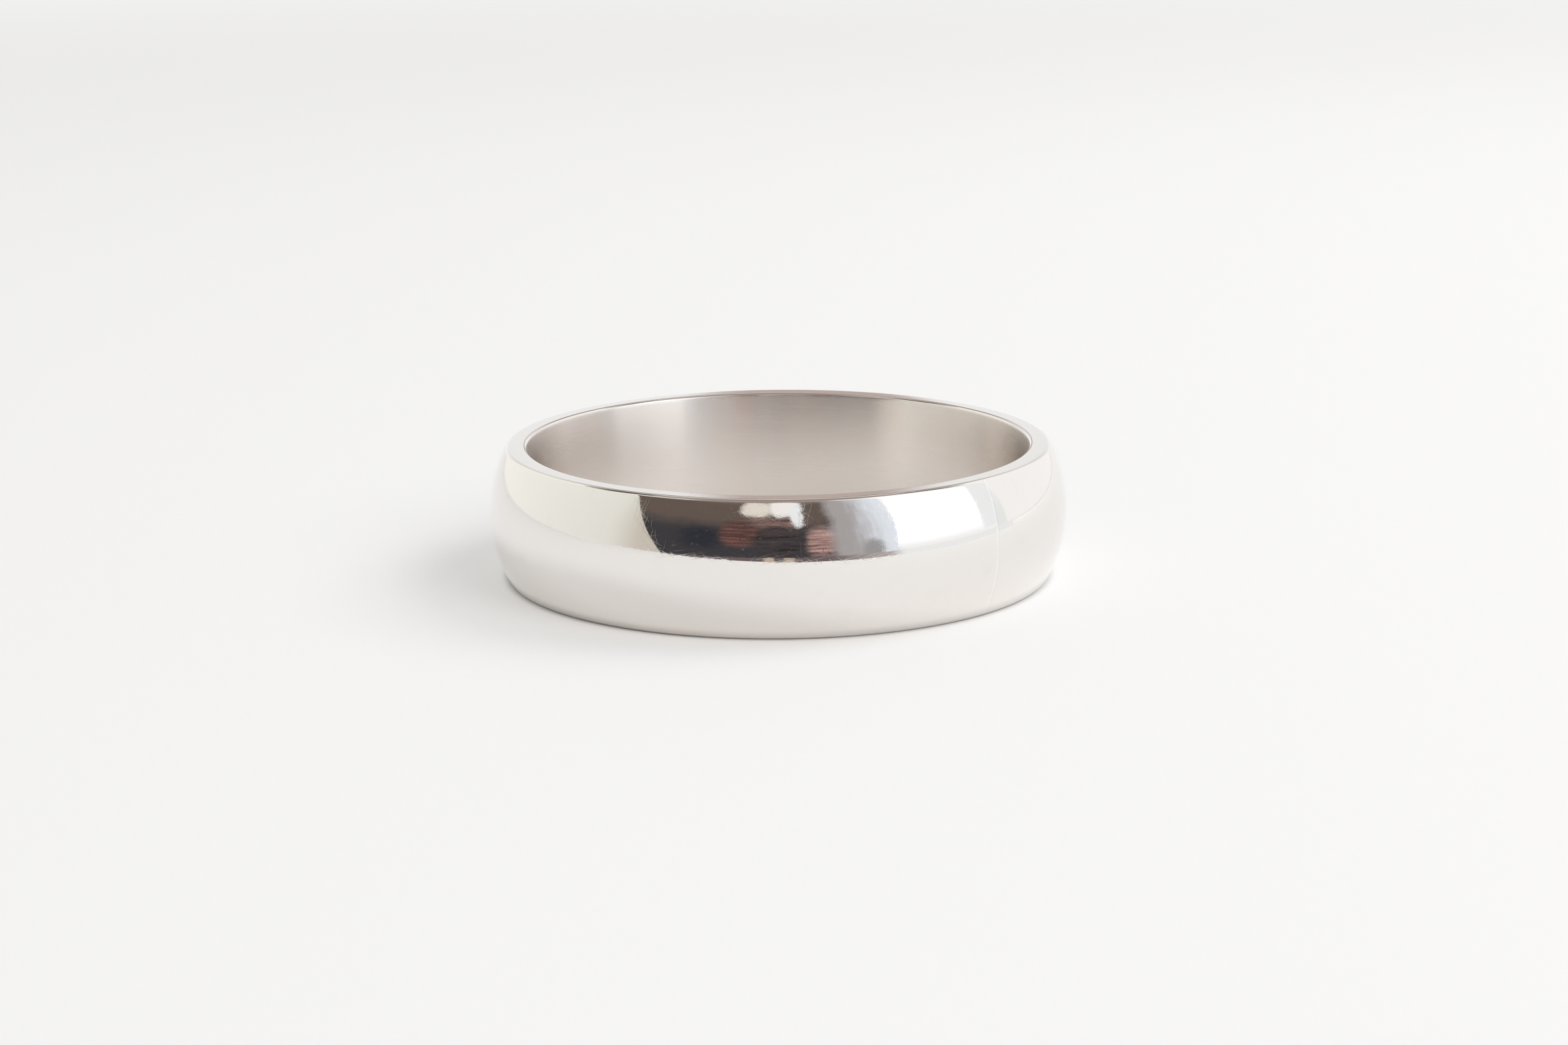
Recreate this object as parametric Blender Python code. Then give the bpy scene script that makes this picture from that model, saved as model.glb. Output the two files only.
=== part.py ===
"""A plain half-round wedding band, bent from one strip and closed by one soldered seam.

Units are metres and +Z is up. The band stands on one of its flat rims: the origin is the centre of the
finger hole in the plane of that rim, and +Z is the axis that the finger goes through. -Y is the front.
"""

import math

import bmesh
import bpy
from mathutils import Matrix, Vector

# The section of the strip, across its width and through its wall.
BAND_WIDTH = 0.0050
BORE_DIAMETER = 0.0185  # the narrowest place of the finger hole, half way along the width
WALL = 0.0016  # from the bore to the crest of the dome
DOME_RISE = 0.00068  # how far the crest stands out from the outer edges of the rims
COMFORT_RISE = 0.00018  # how far the inside crowns towards the finger
OUTER_EDGE_EASE = 0.00010  # how far the outer corners of the rims are polished back
INNER_EDGE_EASE = 0.00012  # the same for the inner corners, which are rounded for the finger

# The joint where the two ends of the strip meet.
SEAM_WIDTH = 0.00012  # the solder, measured round the band at the bore
SEAM_CLEARANCE = 0.00002  # between the solder and each end of the strip
SEAM_AZIMUTH = math.radians(46.0)  # from the front, towards +X

# How finely the curves are faceted.
DOME_STEPS = 12
BORE_STEPS = 4
EASE_STEPS = 3
TURN_STEPS = 90

AXIS = Vector((0.0, 0.0, 1.0))
ORIGIN = Vector((0.0, 0.0, 0.0))
BORE_RADIUS = BORE_DIAMETER / 2
CREST_RADIUS = BORE_RADIUS + WALL
HALF_WIDTH = BAND_WIDTH / 2


def clear_scene():
    for old in list(bpy.data.objects):
        bpy.data.objects.remove(old, do_unlink=True)


def bulge(crest, rise, steps):
    """Points (radius, height) of a shallow arc across the width. It reaches crest half way up, and it
    starts and ends at crest - rise, so that a negative rise bulges towards the axis."""
    arc_radius = (HALF_WIDTH**2 + rise**2) / (2 * abs(rise))
    outward = math.copysign(1.0, rise)
    half_angle = math.asin(HALF_WIDTH / arc_radius)
    points = []
    for step in range(steps + 1):
        angle = half_angle * (2 * step / steps - 1)
        radius = crest - outward * arc_radius * (1 - math.cos(angle))
        points.append((radius, HALF_WIDTH + arc_radius * math.sin(angle)))
    return points


def draw_section(sweep):
    """Draws the closed D of the strip in the XZ plane, with its four corners eased, as one face."""
    dome, bore = (
        [sweep.verts.new((radius, 0.0, height)) for radius, height in bulge(crest, rise, steps)]
        for crest, rise, steps in (
            (CREST_RADIUS, DOME_RISE, DOME_STEPS),
            (BORE_RADIUS, -COMFORT_RISE, BORE_STEPS),
        )
    )
    sweep.faces.new(dome + bore[::-1])
    for side, ease in ((dome, OUTER_EDGE_EASE), (bore, INNER_EDGE_EASE)):
        bmesh.ops.bevel(
            sweep,
            geom=[side[0], side[-1]],
            offset=ease,
            offset_type="OFFSET",
            affect="VERTICES",
            segments=EASE_STEPS,
            profile=0.5,
            material=-1,
        )


def metal(name, colour, roughness):
    material = bpy.data.materials.new(name)
    material.use_nodes = True
    shader = material.node_tree.nodes["Principled BSDF"]
    shader.inputs["Base Color"].default_value = (*colour, 1.0)
    shader.inputs["Metallic"].default_value = 1.0
    shader.inputs["Roughness"].default_value = roughness
    return material


def swept_piece(name, start, turn, steps, material):
    """Turns the section about the axis from the angle start, through the angle turn, with closed ends."""
    sweep = bmesh.new()
    draw_section(sweep)
    bmesh.ops.rotate(sweep, verts=sweep.verts[:], cent=ORIGIN, matrix=Matrix.Rotation(start, 3, AXIS))
    bmesh.ops.spin(
        sweep,
        geom=sweep.faces[:] + sweep.edges[:] + sweep.verts[:],
        cent=ORIGIN,
        axis=AXIS,
        angle=turn,
        steps=steps,
        use_merge=False,
    )
    bmesh.ops.recalc_face_normals(sweep, faces=sweep.faces[:])
    mesh = bpy.data.meshes.new(name)
    sweep.to_mesh(mesh)
    sweep.free()
    mesh.materials.append(material)
    mesh.shade_smooth()
    mesh.set_sharp_from_angle(angle=math.radians(40.0))
    piece = bpy.data.objects.new(name, mesh)
    bpy.context.scene.collection.objects.link(piece)
    return piece


def build_wedding_band():
    clear_scene()
    seam_middle = SEAM_AZIMUTH - math.pi / 2  # the front is at -90 degrees about +Z
    seam_turn = SEAM_WIDTH / BORE_RADIUS
    clearance_turn = SEAM_CLEARANCE / BORE_RADIUS
    band_start = seam_middle + seam_turn / 2 + clearance_turn
    band_turn = 2 * math.pi - seam_turn - 2 * clearance_turn
    polished = metal("polished_white_metal", (0.88, 0.85, 0.82), 0.06)
    solder = metal("white_solder", (0.90, 0.88, 0.85), 0.16)
    swept_piece("band", band_start, band_turn, TURN_STEPS, polished)
    swept_piece("solder_seam", seam_middle - seam_turn / 2, seam_turn, 1, solder)


build_wedding_band()
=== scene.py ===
import math

import bmesh
import bpy
from mathutils import Matrix, Vector, noise


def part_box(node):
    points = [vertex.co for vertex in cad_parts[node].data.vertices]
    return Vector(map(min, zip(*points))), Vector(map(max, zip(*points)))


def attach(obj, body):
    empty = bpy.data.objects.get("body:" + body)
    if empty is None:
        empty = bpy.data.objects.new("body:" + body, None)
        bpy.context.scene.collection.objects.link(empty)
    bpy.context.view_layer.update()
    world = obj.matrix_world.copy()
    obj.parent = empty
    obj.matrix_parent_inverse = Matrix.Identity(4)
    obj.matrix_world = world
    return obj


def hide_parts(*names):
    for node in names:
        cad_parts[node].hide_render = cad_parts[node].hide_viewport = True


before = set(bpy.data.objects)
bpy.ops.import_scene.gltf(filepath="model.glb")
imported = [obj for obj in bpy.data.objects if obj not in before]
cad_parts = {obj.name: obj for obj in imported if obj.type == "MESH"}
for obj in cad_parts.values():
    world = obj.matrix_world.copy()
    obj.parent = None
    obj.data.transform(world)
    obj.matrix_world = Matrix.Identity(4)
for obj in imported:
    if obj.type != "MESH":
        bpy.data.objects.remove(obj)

# The polished looks of a plain half-round wedding band: the bent strip of white metal, the solder that
# closes it, and the sheet, the cards and the lights round it. Metres, +Z up, -Y is the front.

MM = 0.001
MICRON = 0.000001
AXIS = Vector((0.0, 0.0, 1.0))
CENTRE = Vector((0.0, 0.0, 0.0))

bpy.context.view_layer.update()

# The strip's section. Its width and its crest are the solid's own, and the rest is as it was designed.
BAND_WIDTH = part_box("band")[1][2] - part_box("band")[0][2]
CREST_RADIUS = (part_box("band")[1][0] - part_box("band")[0][0]) / 2
HALF_WIDTH = BAND_WIDTH / 2
BORE_RADIUS = 9.25 * MM
DOME_RISE = 0.68 * MM
COMFORT_RISE = 0.18 * MM
OUTER_EDGE_EASE = 0.10 * MM
INNER_EDGE_EASE = 0.12 * MM

# The soldered joint, as angles about the finger's axis.
SEAM_AZIMUTH = math.radians(46.0)  # from the front, towards +X
SEAM_TURN = 0.12 * MM / BORE_RADIUS
END_GAP = 0.001 * MM / BORE_RADIUS  # between the solder and each end of the strip

# How finely the curves are drawn.
DOME_STEPS = 40
BORE_STEPS = 24
EASE_STEPS = 7
RIM_CUTS = 5
STRIP_STEPS = 480
SOLDER_STEPS = 4
CARD_STEPS = 16

# What the finished metal does with light.
METAL_TINT = (0.88, 0.855, 0.825)
BUFFED_ROUGHNESS = 0.27

# The staging.
BACKDROP = 0.90  # how bright the plain backdrop is
CARD_DISTANCE = 0.300
CARD_STEP = 0.008  # a card that overlaps another stands this much nearer or further off
CARD_FOOT = 0.2 * MM  # no card starts lower than this over the table
SQUARENESS = 2.6  # of the patches of light: 2 is an oval, and more is squarer


# ---------------------------------------------------------------- the two pieces of metal


def bulge(crest, rise, steps):
    """Points (radius, height) of a shallow arc across the width of the band, from rim to rim."""
    arc_radius = (HALF_WIDTH**2 + rise**2) / (2 * abs(rise))
    outward = math.copysign(1.0, rise)
    half_angle = math.asin(HALF_WIDTH / arc_radius)
    points = []
    for step in range(steps + 1):
        angle = half_angle * (2 * step / steps - 1)
        radius = crest - outward * arc_radius * (1 - math.cos(angle))
        points.append((radius, HALF_WIDTH + arc_radius * math.sin(angle)))
    return points


def draw_section(metal, shrink=0.0):
    """Draws the closed D of the strip in the XZ plane, its corners eased, as one face."""
    sides = []
    for crest, rise, steps in (
        (CREST_RADIUS - shrink, DOME_RISE, DOME_STEPS),
        (BORE_RADIUS + shrink, -COMFORT_RISE, BORE_STEPS),
    ):
        outline = bulge(crest, rise, steps)
        sides.append([metal.verts.new((radius, 0.0, height)) for radius, height in outline])
    dome, bore = sides
    metal.faces.new(dome + bore[::-1])
    for side, ease in ((dome, OUTER_EDGE_EASE), (bore, INNER_EDGE_EASE)):
        bmesh.ops.bevel(
            metal,
            geom=[side[0], side[-1]],
            offset=ease,
            offset_type="OFFSET",
            affect="VERTICES",
            segments=EASE_STEPS,
            profile=0.5,
            material=-1,
        )
    shortest_flat = 0.3 * MM
    rims = [edge for edge in metal.edges if edge.calc_length() > shortest_flat]
    bmesh.ops.subdivide_edges(metal, edges=rims, cuts=RIM_CUTS)


def turn_section(metal, start, turn, steps):
    """Sweeps the section about the finger's axis, from the azimuth start through turn, ends closed."""
    start_angle = start - math.pi / 2
    bmesh.ops.rotate(
        metal,
        verts=metal.verts[:],
        cent=CENTRE,
        matrix=Matrix.Rotation(start_angle, 3, AXIS),
    )
    bmesh.ops.spin(
        metal,
        geom=metal.faces[:] + metal.edges[:] + metal.verts[:],
        cent=CENTRE,
        axis=AXIS,
        angle=turn,
        steps=steps,
        use_merge=False,
    )
    bmesh.ops.recalc_face_normals(metal, faces=metal.faces[:])


def hand_finish(metal, depth, size):
    """Moves the surface by a micron or two, as a buffing wheel held by hand leaves it."""
    for vert in metal.verts:
        outward = Vector((vert.co.x, vert.co.y, 0.0)).normalized()
        ripple = noise.noise(vert.co / size) + 0.5 * noise.noise(vert.co / size * 2.3)
        vert.co += outward * ripple * depth


def piece_from(metal, name, material, node):
    mesh = bpy.data.meshes.new(name)
    metal.to_mesh(mesh)
    metal.free()
    mesh.materials.append(material)
    mesh.shade_smooth()
    mesh.set_sharp_from_angle(angle=math.radians(50.0))
    piece = bpy.data.objects.new(name, mesh)
    bpy.context.scene.collection.objects.link(piece)
    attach(piece, "root")
    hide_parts(node)
    return piece


def bent_strip(material):
    strip = bmesh.new()
    draw_section(strip)
    start = SEAM_AZIMUTH + SEAM_TURN / 2 + END_GAP
    turn_section(strip, start, 2 * math.pi - SEAM_TURN - 2 * END_GAP, STRIP_STEPS)
    hand_finish(strip, depth=1.8 * MICRON, size=1.7 * MM)
    return piece_from(strip, "bent_strip", material, "band")


def solder_joint(material):
    """The solder, polished down with the strip and left a hair lower, because it is softer."""
    solder = bmesh.new()
    draw_section(solder, shrink=1.5 * MICRON)
    turn_section(solder, SEAM_AZIMUTH - SEAM_TURN / 2, SEAM_TURN, SOLDER_STEPS)
    hand_finish(solder, depth=1.5 * MICRON, size=0.2 * MM)
    return piece_from(solder, "solder_joint", material, "solder_seam")


# ---------------------------------------------------------------- materials


class Recipe:
    """A material's nodes, with short ways to add the ones that repeat."""

    def __init__(self, name):
        self.material = bpy.data.materials.new(name)
        self.material.use_nodes = True
        self.nodes = self.material.node_tree.nodes
        self.links = self.material.node_tree.links
        self.shader = self.nodes["Principled BSDF"]

    def add(self, kind, **settings):
        node = self.nodes.new(kind)
        for name, value in settings.items():
            setattr(node, name, value)
        return node

    def feed(self, socket, value):
        if hasattr(value, "is_output"):
            self.links.new(value, socket)
        else:
            socket.default_value = value

    def place(self):
        return self.add("ShaderNodeTexCoord").outputs["Object"]

    def parts(self, place):
        """The X, Y and Z of a place."""
        node = self.add("ShaderNodeSeparateXYZ")
        self.feed(node.inputs[0], place)
        return node.outputs["X"], node.outputs["Y"], node.outputs["Z"]

    def calculate(self, operation, first, second=0.0):
        node = self.add("ShaderNodeMath", operation=operation)
        self.feed(node.inputs[0], first)
        self.feed(node.inputs[1], second)
        return node.outputs[0]

    def scaled_sum(self, value, scale, offset):
        node = self.add("ShaderNodeMath", operation="MULTIPLY_ADD")
        for socket, given in zip(node.inputs, (value, scale, offset)):
            self.feed(socket, given)
        return node.outputs[0]

    def vector(self, operation, first, second=(0.0, 0.0, 0.0)):
        node = self.add("ShaderNodeVectorMath", operation=operation)
        self.feed(node.inputs[0], first)
        self.feed(node.inputs[1], second)
        return node.outputs["Value" if operation == "LENGTH" else "Vector"]

    def from_axis(self, place):
        """How far a place lies from the finger's axis."""
        return self.vector("LENGTH", self.vector("MULTIPLY", place, (1.0, 1.0, 0.0)))

    def fade(self, value, start, end, low=0.0, high=1.0):
        """A number that goes gently from low to high as a value goes from start to end."""
        node = self.add("ShaderNodeMapRange", interpolation_type="SMOOTHSTEP")
        for socket, given in zip(node.inputs[:5], (value, start, end, low, high)):
            self.feed(socket, given)
        return node.outputs["Result"]

    def clouds(self, where, scale, detail=2.0, roughness=0.5):
        node = self.add("ShaderNodeTexNoise")
        self.feed(node.inputs["Vector"], where)
        node.inputs["Scale"].default_value = scale
        node.inputs["Detail"].default_value = detail
        node.inputs["Roughness"].default_value = roughness
        return node.outputs["Fac"]

    def blend(self, share, first, second):
        """A number that goes from first to second as share goes from 0 to 1."""
        node = self.add("ShaderNodeMix", data_type="FLOAT")
        self.feed(node.inputs["Factor"], share)
        self.feed(node.inputs[2], first)
        self.feed(node.inputs[3], second)
        return node.outputs[0]

    def tint(self, share, first, second):
        """A colour that goes from first to second as share goes from 0 to 1."""
        node = self.add("ShaderNodeMix", data_type="RGBA")
        self.feed(node.inputs["Factor"], share)
        self.feed(node.inputs[6], first)
        self.feed(node.inputs[7], second)
        return node.outputs[2]

    def relief(self, height, depth, under=None):
        node = self.add("ShaderNodeBump")
        node.inputs["Distance"].default_value = depth
        self.feed(node.inputs["Height"], height)
        if under is not None:
            self.feed(node.inputs["Normal"], under)
        return node.outputs["Normal"]


def colour(red, green, blue):
    return (red, green, blue, 1.0)


def grey(value):
    return colour(value, value, value)


def round_the_band(recipe):
    """Two flat coordinates in metres on the metal, the way round from the seam and the height, and the
    height by itself."""
    turned = recipe.add("ShaderNodeMapping", vector_type="POINT")
    recipe.feed(turned.inputs["Vector"], recipe.place())
    turned.inputs["Rotation"].default_value = (0.0, 0.0, -math.pi / 2 - SEAM_AZIMUTH)
    out, along, height = recipe.parts(turned.outputs["Vector"])
    angle = recipe.calculate("ARCTAN2", along, out)
    flat = recipe.add("ShaderNodeCombineXYZ")
    recipe.feed(flat.inputs["X"], recipe.calculate("MULTIPLY", angle, CREST_RADIUS))
    recipe.feed(flat.inputs["Y"], height)
    return flat.outputs["Vector"], height


def share_outside(recipe, place):
    """0 in the finger hole, and 1 on the rims and the dome."""
    rim_start = BORE_RADIUS + COMFORT_RISE
    return recipe.fade(recipe.from_axis(place), rim_start - 0.01 * MM, rim_start + 0.03 * MM)


def buff_the_hole(recipe, place, outside):
    """The hole is buffed by a turning wheel, whose fine lines spread the light up and down."""
    recipe.feed(recipe.shader.inputs["Anisotropic"], recipe.blend(outside, 1.0, 0.0))
    recipe.shader.inputs["Anisotropic Rotation"].default_value = 0.25
    way_round = recipe.vector("NORMALIZE", recipe.vector("CROSS_PRODUCT", AXIS, place))
    recipe.feed(recipe.shader.inputs["Tangent"], way_round)


def handled_metal(recipe, place):
    """The colour of the polished metal, with a faint bloom and the traces of fingers."""
    bloom = recipe.clouds(place, 260.0, detail=4.0, roughness=0.6)
    clean = recipe.tint(bloom, colour(0.865, 0.835, 0.800), colour(0.895, 0.872, 0.845))
    touches = recipe.clouds(place, 900.0, detail=6.0, roughness=0.7)
    return recipe.tint(recipe.fade(touches, 0.52, 0.80, 0.0, 0.25), clean, colour(0.80, 0.75, 0.69))


def hairlines(recipe, flat, lean, length, spacing, fineness):
    """Thin straight scratches that lean by an angle: the level lines of a long, narrow noise."""
    leaned = recipe.add("ShaderNodeMapping", vector_type="TEXTURE")
    recipe.feed(leaned.inputs["Vector"], flat)
    leaned.inputs["Rotation"].default_value = (0.0, 0.0, lean)
    leaned.inputs["Scale"].default_value = (length, spacing, 1.0)
    level = recipe.clouds(leaned.outputs["Vector"], 1.0, detail=1.0)
    offset = recipe.calculate("ABSOLUTE", recipe.calculate("SUBTRACT", level, 0.5))
    return recipe.fade(offset, 0.0, fineness, 1.0, 0.0)


def scratches_of_wear(recipe, flat):
    """Three sets of hairlines that cross. A longer set is finer spaced."""
    scratches = 0.0
    for lean, length, spacing, fineness in (
        (12.0, 3.2 * MM, 0.22 * MM, 0.012),
        (-34.0, 1.6 * MM, 0.30 * MM, 0.010),
        (77.0, 1.1 * MM, 0.35 * MM, 0.008),
    ):
        lines = hairlines(recipe, flat, math.radians(lean), length, spacing, fineness)
        scratches = recipe.calculate("ADD", scratches, lines)
    return scratches


def turning_lines(recipe, flat):
    """The long fine lines that a buffing wheel leaves round the hole."""
    drawn_out = recipe.add("ShaderNodeMapping", vector_type="TEXTURE")
    recipe.feed(drawn_out.inputs["Vector"], flat)
    drawn_out.inputs["Scale"].default_value = (6.0 * MM, 0.03 * MM, 1.0)
    return recipe.clouds(drawn_out.outputs["Vector"], 1.0, detail=3.0)


def edge_wear(recipe, height):
    """1 at the two rims, which the table and the hand rub, and 0 a little way up the band."""
    to_the_other_rim = recipe.calculate("SUBTRACT", BAND_WIDTH, height)
    from_a_rim = recipe.calculate("MINIMUM", height, to_the_other_rim)
    return recipe.fade(from_a_rim, 0.02 * MM, 0.22 * MM, 1.0, 0.0)


def polished_white_metal():
    recipe = Recipe("polished_white_metal")
    shader = recipe.shader
    place = recipe.place()
    flat, height = round_the_band(recipe)
    outside = share_outside(recipe, place)

    # Painted shade: the hole's base colour is darker and warmer than the outside's.
    painted_shade_in_the_hole = colour(0.85, 0.795, 0.75)
    base = recipe.tint(outside, painted_shade_in_the_hole, handled_metal(recipe, place))
    recipe.feed(shader.inputs["Base Color"], base)
    shader.inputs["Metallic"].default_value = 1.0

    scratches = recipe.calculate("MULTIPLY", scratches_of_wear(recipe, flat), outside)
    haze = recipe.clouds(place, 1500.0, detail=5.0, roughness=0.65)
    in_the_hole = recipe.fade(
        turning_lines(recipe, flat), 0.3, 0.7, BUFFED_ROUGHNESS - 0.008, BUFFED_ROUGHNESS + 0.004
    )
    on_the_outside = recipe.fade(haze, 0.35, 0.75, 0.018, 0.060)
    polish = recipe.blend(outside, in_the_hole, on_the_outside)
    worn = recipe.scaled_sum(edge_wear(recipe, height), 0.015, polish)
    recipe.feed(shader.inputs["Roughness"], recipe.scaled_sum(scratches, 0.04, worn))
    buff_the_hole(recipe, place, outside)

    waviness = recipe.relief(recipe.clouds(place, 2600.0, detail=3.0), 0.20 * MICRON)
    recipe.feed(shader.inputs["Normal"], recipe.relief(scratches, 0.15 * MICRON, waviness))
    return recipe.material


def white_solder():
    recipe = Recipe("white_solder")
    shader = recipe.shader
    place = recipe.place()
    outside = share_outside(recipe, place)

    grains = recipe.clouds(place, 9000.0, detail=3.0, roughness=0.6)
    base = recipe.tint(grains, colour(0.84, 0.83, 0.79), colour(0.95, 0.94, 0.91))
    recipe.feed(shader.inputs["Base Color"], base)
    shader.inputs["Metallic"].default_value = 1.0

    on_the_outside = recipe.fade(grains, 0.3, 0.7, 0.12, 0.20)
    polish = recipe.blend(outside, BUFFED_ROUGHNESS, on_the_outside)
    recipe.feed(shader.inputs["Roughness"], polish)
    buff_the_hole(recipe, place, outside)
    recipe.feed(shader.inputs["Normal"], recipe.relief(grains, 0.8 * MICRON))
    return recipe.material


def white_paper():
    """A white sheet that glows a little, as if lit from below: painted fill light that keeps shadows on it
    pale. The glow fades out under the band, which paints a contact shadow there.
    """
    recipe = Recipe("white_paper")
    shader = recipe.shader
    place = recipe.place()
    from_axis = recipe.from_axis(place)
    back = recipe.parts(place)[1]
    # Far out the sheet turns into the backdrop, so that no horizon shows.
    melted = recipe.fade(from_axis, 0.12, 0.45)

    fibres = recipe.clouds(place, 2400.0, detail=5.0, roughness=0.7)
    white = recipe.tint(fibres, grey(0.785), grey(0.805))
    # Painted shade: the sheet's colour darkens towards the back.
    painted_shade_to_the_back = recipe.tint(recipe.fade(back, 0.10, 0.45), white, grey(0.70))
    recipe.feed(shader.inputs["Base Color"], recipe.tint(melted, painted_shade_to_the_back, grey(0.0)))
    shader.inputs["Roughness"].default_value = 0.85
    recipe.feed(shader.inputs["Specular IOR Level"], recipe.blend(melted, 0.15, 0.0))
    recipe.feed(shader.inputs["Normal"], recipe.relief(fibres, 12 * MICRON))

    rim_middle = BORE_RADIUS + 0.55 * MM
    from_rim = recipe.calculate("ABSOLUTE", recipe.calculate("SUBTRACT", from_axis, rim_middle))
    # Painted light and shadow: the sheet's own warm white glow is a painted fill light, and it fades to
    # nothing round the band's foot, a painted contact shadow.
    painted_glow_with_contact_shadow = recipe.fade(from_rim, 0.3 * MM, 0.75 * MM, 0.0, 0.27)
    warmth = recipe.tint(melted, colour(1.0, 0.985, 0.965), grey(1.0))
    recipe.feed(shader.inputs["Emission Color"], warmth)
    recipe.feed(shader.inputs["Emission Strength"], recipe.blend(melted, painted_glow_with_contact_shadow, BACKDROP))
    return recipe.material


class Glow(Recipe):
    """A card's own soft light. Its pattern is laid out in degrees, as the band sees the card: azimuth
    from the front, or from the back if the card stands behind, and elevation from the level."""

    def __init__(self, name, wobble=0.0, behind=False):
        super().__init__(name)
        self.nodes.remove(self.shader)
        place = self.place()
        across, back, up = self.parts(place)
        ahead = self.calculate("MULTIPLY", back, 1.0 if behind else -1.0)
        above = self.calculate("SUBTRACT", up, HALF_WIDTH)
        self.azimuth = self.angle(across, ahead)
        self.elevation = self.angle(above, self.from_axis(place))
        if wobble:
            self.azimuth = self.calculate("ADD", self.azimuth, self.stray(place, 17.0, wobble))
            self.elevation = self.calculate("ADD", self.elevation, self.stray(place, 23.0, wobble))
        self.shown = grey(1.0)

    def angle(self, side, base):
        return self.calculate("DEGREES", self.calculate("ARCTAN2", side, base))

    def stray(self, place, scale, size):
        """A number that strays by up to size to both sides of 0."""
        clouds = self.clouds(place, scale, 4.0, 0.6)
        return self.calculate("MULTIPLY", self.calculate("SUBTRACT", clouds, 0.5), 2 * size)

    def shade(self, value, start, end, first, second):
        """Lays a blend of two tones over all that is there."""
        self.shown = self.tint(self.fade(value, start, end), first, second)

    def veil(self, value, start, end, tone_shown):
        """Blends what is there into one tone as a value goes from start to end."""
        self.shown = self.tint(self.fade(value, start, end), self.shown, tone_shown)

    def patch(self, azimuth, elevation, half_width, half_height, softness, tone_shown):
        """A rounded patch of one tone with a soft edge."""
        spread = 0.0
        for angle, middle, half_size in (
            (self.azimuth, azimuth, half_width),
            (self.elevation, elevation, half_height),
        ):
            offset = self.calculate("DIVIDE", self.calculate("SUBTRACT", angle, middle), half_size)
            size = self.calculate("POWER", self.calculate("ABSOLUTE", offset), SQUARENESS)
            spread = self.calculate("ADD", spread, size)
        self.veil(self.calculate("SQRT", spread), 1 + softness, 1 - softness, tone_shown)

    def lit(self):
        light = self.add("ShaderNodeEmission")
        self.feed(light.inputs["Color"], self.shown)
        self.links.new(light.outputs[0], self.nodes["Material Output"].inputs["Surface"])
        return self.material


def tone(red, green, blue, strength=1.0):
    """The light that a card needs so that the metal shows this screen colour, each part 0 to 255."""
    linear = []
    for part, metal in zip((red, green, blue), METAL_TINT):
        share = part / 255
        value = share / 12.92 if share <= 0.04045 else ((share + 0.055) / 1.055) ** 2.4
        linear.append(value / metal * strength)
    return (*linear, 1.0)


# ---------------------------------------------------------------- the table, the cards and the light


def stage_mesh(mesh_maker, name, material):
    mesh = bpy.data.meshes.new(name)
    mesh_maker.to_mesh(mesh)
    mesh_maker.free()
    mesh.materials.append(material)
    thing = bpy.data.objects.new(name, mesh)
    bpy.context.scene.collection.objects.link(thing)
    return thing


def only_in_reflections(thing):
    thing.visible_camera = False
    thing.visible_diffuse = False
    thing.visible_shadow = False
    thing.visible_transmission = False


def table_top():
    top = bmesh.new()
    bmesh.ops.create_circle(top, cap_ends=True, radius=1.6, segments=96)
    return stage_mesh(top, "table_top", white_paper())


def card(name, foot, head, low, high, distance, material):
    """A curved card that only the metal sees. foot and head are its left and right azimuths in degrees
    along the lower and the upper edge, and low and high are the elevations of those two edges."""
    sheet = bmesh.new()
    edges = []
    for (left, right), elevation in ((foot, low), (head, high)):
        height = max(HALF_WIDTH + distance * math.tan(math.radians(elevation)), CARD_FOOT)
        row = []
        for step in range(CARD_STEPS + 1):
            azimuth = math.radians(left + (right - left) * step / CARD_STEPS)
            corner = (distance * math.sin(azimuth), -distance * math.cos(azimuth), height)
            row.append(sheet.verts.new(corner))
        edges += [sheet.edges.new(pair) for pair in zip(row, row[1:])]
    bmesh.ops.bridge_loops(sheet, edges=edges)
    only_in_reflections(stage_mesh(sheet, name, material))


def two_tones(name, first, second, start, end, sideways=False):
    """The light of a plain card: two tones, one over or beside the other, that blend between two angles."""
    plain = Glow(name)
    plain.shade(plain.azimuth if sideways else plain.elevation, start, end, first, second)
    return plain.lit()


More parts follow.
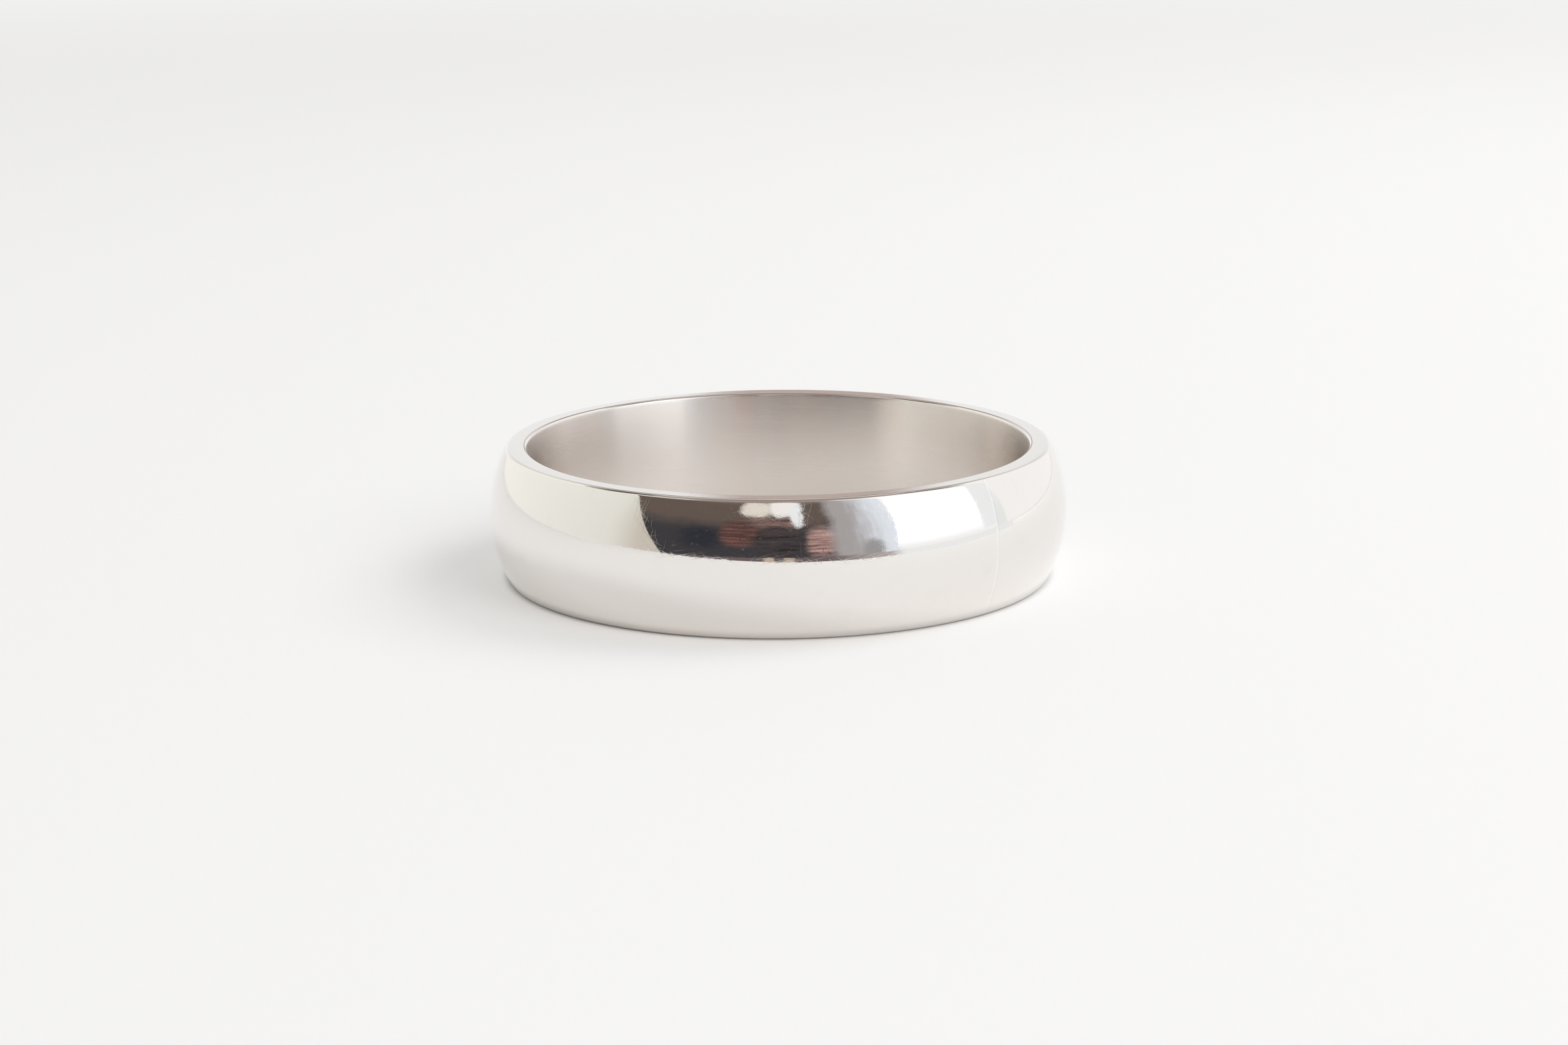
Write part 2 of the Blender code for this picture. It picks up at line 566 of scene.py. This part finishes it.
def unlit_room():
    """The unlit side of the room: dark below and browner above, with wood, lamps and a pale drape."""
    room = Glow("dark_room", wobble=3.0)
    grain = room.stray(room.vector("MULTIPLY", room.place(), (12.0, 12.0, 120.0)), 1.0, 1.0)
    folds = room.stray(room.vector("MULTIPLY", room.place(), (150.0, 150.0, 12.0)), 1.0, 1.0)
    room.shade(room.elevation, 19, 30, tone(61, 59, 61), tone(97, 85, 78))
    room.veil(room.elevation, 41, 50, tone(146, 132, 124))
    room.patch(-30, 14, 8, 8, 0.5, tone(47, 48, 55))

    for azimuth, elevation, half_width, half_height, dark, light in (
        (-15, 19, 7, 10, tone(74, 56, 54), tone(128, 88, 80)),
        (0, 28, 11, 4, tone(84, 70, 68), tone(150, 118, 110)),
        (0, 14, 9, 11, tone(41, 39, 41), tone(74, 66, 66)),
        (17, 12, 6, 11, tone(112, 80, 75), tone(190, 158, 150)),
    ):
        wood = room.tint(room.fade(grain, -0.3, 0.3), dark, light)
        room.patch(azimuth, elevation, half_width, half_height, 0.4, wood)
    flecks = room.clouds(room.place(), 70.0, 5.0, 0.7)
    room.veil(flecks, 0.60, 0.82, tone(150, 132, 126))

    # Three lamps, and the drape with something low and grey in front of it.
    room.patch(-10, 39, 6.5, 6.5, 0.35, tone(222, 213, 201))
    room.patch(3, 40, 7, 7.5, 0.3, tone(236, 231, 226))
    room.patch(8, 33, 2.5, 9, 0.3, tone(232, 232, 232))
    room.veil(room.calculate("ADD", room.azimuth, folds), 18, 24, tone(163, 157, 156))
    room.veil(room.scaled_sum(folds, 6.0, room.azimuth), 27, 45, tone(222, 226, 232))
    room.patch(36, 2, 4, 8, 0.5, tone(151, 148, 147))
    return room.lit()


def wall_behind():
    """A pale wall, darker above, with one soft dark thing on a stand in front of it."""
    wall = Glow("back_wall", behind=True)
    wall.shade(wall.elevation, 3, 24, tone(238, 237, 235), tone(216, 210, 204))
    wall.veil(wall.elevation, 28, 46, tone(188, 179, 171))
    wall.patch(0.8, 36, 15, 12, 0.4, tone(116, 104, 97))
    wall.patch(0.8, 13, 2.6, 40, 0.5, tone(178, 162, 154))
    return wall.lit()


def cards_in_front():
    card(
        "dark_room", (-45, 47), (-79, 47), -0.5, 50, CARD_DISTANCE,
        unlit_room(),
    )
    card(
        "cream_return", (-72, -40), (-72, -40), -0.3, 50, CARD_DISTANCE + CARD_STEP,
        two_tones("cream_return", tone(223, 220, 211), tone(197, 188, 175), -71, -52, sideways=True),
    )
    card(
        "window", (46, 84), (52, 100), 2, 64, CARD_DISTANCE - CARD_STEP,
        two_tones("window", tone(246, 246, 246), tone(255, 255, 255, strength=1.25), 2, 9),
    )
    card(
        "window_frame", (83, 94), (83, 94), 2, 50, CARD_DISTANCE,
        two_tones(
            "window_frame", tone(254, 254, 254, strength=1.1), tone(234, 234, 234), 83, 87, sideways=True
        ),
    )
    card(
        "window_reveal", (93.5, 99), (92, 97), 0, 50, CARD_DISTANCE,
        two_tones("window_reveal", tone(228, 229, 225), tone(234, 234, 233), 5, 25),
    )


def cards_behind():
    card(
        "back_wall", (150, 210), (150, 210), 1, 50, CARD_DISTANCE,
        wall_behind(),
    )
    card(
        "left_cloth", (-150, -95), (-150, -95), 46, 63, CARD_DISTANCE / 2,
        two_tones("left_cloth", tone(176, 166, 156), tone(92, 82, 74), 46, 54),
    )
    card(
        "right_cloth", (100, 150), (100, 150), 48, 63, CARD_DISTANCE / 2,
        two_tones("right_cloth", tone(190, 182, 174), tone(128, 116, 106), 48, 56),
    )


def cards_overhead():
    card(
        "dark_beam", (-46, 30), (-46, 26), 48, 62, CARD_DISTANCE / 2,
        two_tones("dark_beam", tone(146, 132, 124), tone(150, 137, 129), 50, 60),
    )
    overhead = bmesh.new()
    bmesh.ops.create_circle(overhead, cap_ends=True, radius=CARD_DISTANCE * 0.6, segments=48)
    bmesh.ops.translate(overhead, verts=overhead.verts[:], vec=(0.0, 0.0, CARD_DISTANCE))
    browner = two_tones("ceiling", tone(178, 168, 160), tone(146, 132, 124), 60, 75)
    only_in_reflections(stage_mesh(overhead, "ceiling", browner))


def end_of_the_sheet():
    """What the metal shows where the sheet ends, close in front of it and further off to the left."""
    edge = Glow("paper_end", wobble=1.0)
    edge.shade(edge.azimuth, 14, 38, tone(104, 92, 92), tone(170, 160, 156))
    edge.veil(edge.azimuth, 38, 46, tone(232, 232, 232))
    edge.patch(-3.5, -1, 1.8, 3, 0.4, tone(190, 168, 150))
    edge.patch(4, -1, 2.0, 3, 0.4, tone(190, 170, 152))

    route = ((-0.212, -0.212), (0.0, -0.053), (0.033, -0.041), (0.060, -0.012), (0.066, 0.008))
    foot = 0.1 * MM
    height = HALF_WIDTH + 0.4 * MM
    strip = bmesh.new()
    corners = [strip.verts.new((x, y, foot)) for x, y in route]
    edges = [strip.edges.new(pair) for pair in zip(corners, corners[1:])]
    raised = bmesh.ops.extrude_edge_only(strip, edges=edges)["geom"]
    tops = [part for part in raised if isinstance(part, bmesh.types.BMVert)]
    bmesh.ops.translate(strip, verts=tops, vec=(0.0, 0.0, height - foot))
    only_in_reflections(stage_mesh(strip, "paper_end", edge.lit()))


def soft_light(name, place, energy):
    """A large square lamp that is turned to the band and that the metal doesn't show."""
    lamp = bpy.data.lights.new(name, "AREA")
    lamp.size = 0.24
    lamp.energy = energy
    light = bpy.data.objects.new(name, lamp)
    light.location = place
    light.rotation_euler = (-light.location).to_track_quat("-Z", "Y").to_euler()
    light.visible_glossy = False
    bpy.context.scene.collection.objects.link(light)


def studio_light():
    """Even light from all round, in tones that the metal shows, and two large soft lamps."""
    world = bpy.data.worlds.new("studio")
    world.use_nodes = True
    nodes = world.node_tree.nodes
    links = world.node_tree.links
    bpy.context.scene.world = world
    parts = nodes.new("ShaderNodeSeparateXYZ")
    links.new(nodes.new("ShaderNodeTexCoord").outputs["Generated"], parts.inputs[0])
    path = nodes.new("ShaderNodeLightPath")

    def blend(share, first, second, start=0.0, end=1.0):
        ramp = nodes.new("ShaderNodeMapRange")
        ramp.inputs["From Min"].default_value = start
        ramp.inputs["From Max"].default_value = end
        links.new(share, ramp.inputs["Value"])
        mix = nodes.new("ShaderNodeMix")
        mix.data_type = "RGBA"
        links.new(ramp.outputs["Result"], mix.inputs["Factor"])
        for socket, given in ((mix.inputs[6], first), (mix.inputs[7], second)):
            if hasattr(given, "is_output"):
                links.new(given, socket)
            else:
                socket.default_value = given
        return mix.outputs[2]

    left = blend(parts.outputs["Y"], tone(223, 220, 211), tone(238, 235, 226), -0.3, 0.7)
    on_the_metal = blend(parts.outputs["X"], left, tone(243, 239, 236), -0.3, 0.3)
    warm_front = colour(0.50, 0.430, 0.375)
    cool_back = colour(0.435, 0.465, 0.490)
    fill = blend(parts.outputs["Y"], warm_front, cool_back, -0.6, 0.0)
    scattered = blend(path.outputs["Is Diffuse Ray"], on_the_metal, fill)
    seen = blend(path.outputs["Is Camera Ray"], scattered, grey(BACKDROP))
    links.new(seen, nodes["Background"].inputs["Color"])

    soft_light("window_light", (0.24, -0.24, 0.26), 0.48)
    soft_light("back_light", (0.30, 0.13, 0.33), 0.60)


def place_camera():
    """A close lens that looks down a little at the front of the band."""
    elevation = math.radians(13.15)
    roll = math.radians(-0.41)
    distance = 0.120
    aim = Vector((0.21 * MM, 0.0, 1.81 * MM))
    forward = Vector((0.0, math.cos(elevation), -math.sin(elevation)))
    right = Vector((1.0, 0.0, 0.0))
    up = right.cross(forward)
    turned_right = right * math.cos(roll) + up * math.sin(roll)
    turned_up = up * math.cos(roll) - right * math.sin(roll)
    lens = bpy.data.cameras.new("camera")
    lens.sensor_width = 36.0
    lens.lens = 72.9
    lens.clip_start = 0.005
    lens.clip_end = 10.0
    camera = bpy.data.objects.new("camera", lens)
    axes = Matrix((turned_right, turned_up, -forward)).transposed()
    camera.matrix_world = Matrix.Translation(aim - forward * distance) @ axes.to_4x4()
    bpy.context.scene.collection.objects.link(camera)
    bpy.context.scene.camera = camera


bent_strip(polished_white_metal())
solder_joint(white_solder())
table_top()
cards_in_front()
cards_behind()
cards_overhead()
end_of_the_sheet()
studio_light()
place_camera()
bpy.context.scene.view_settings.view_transform = "Standard"
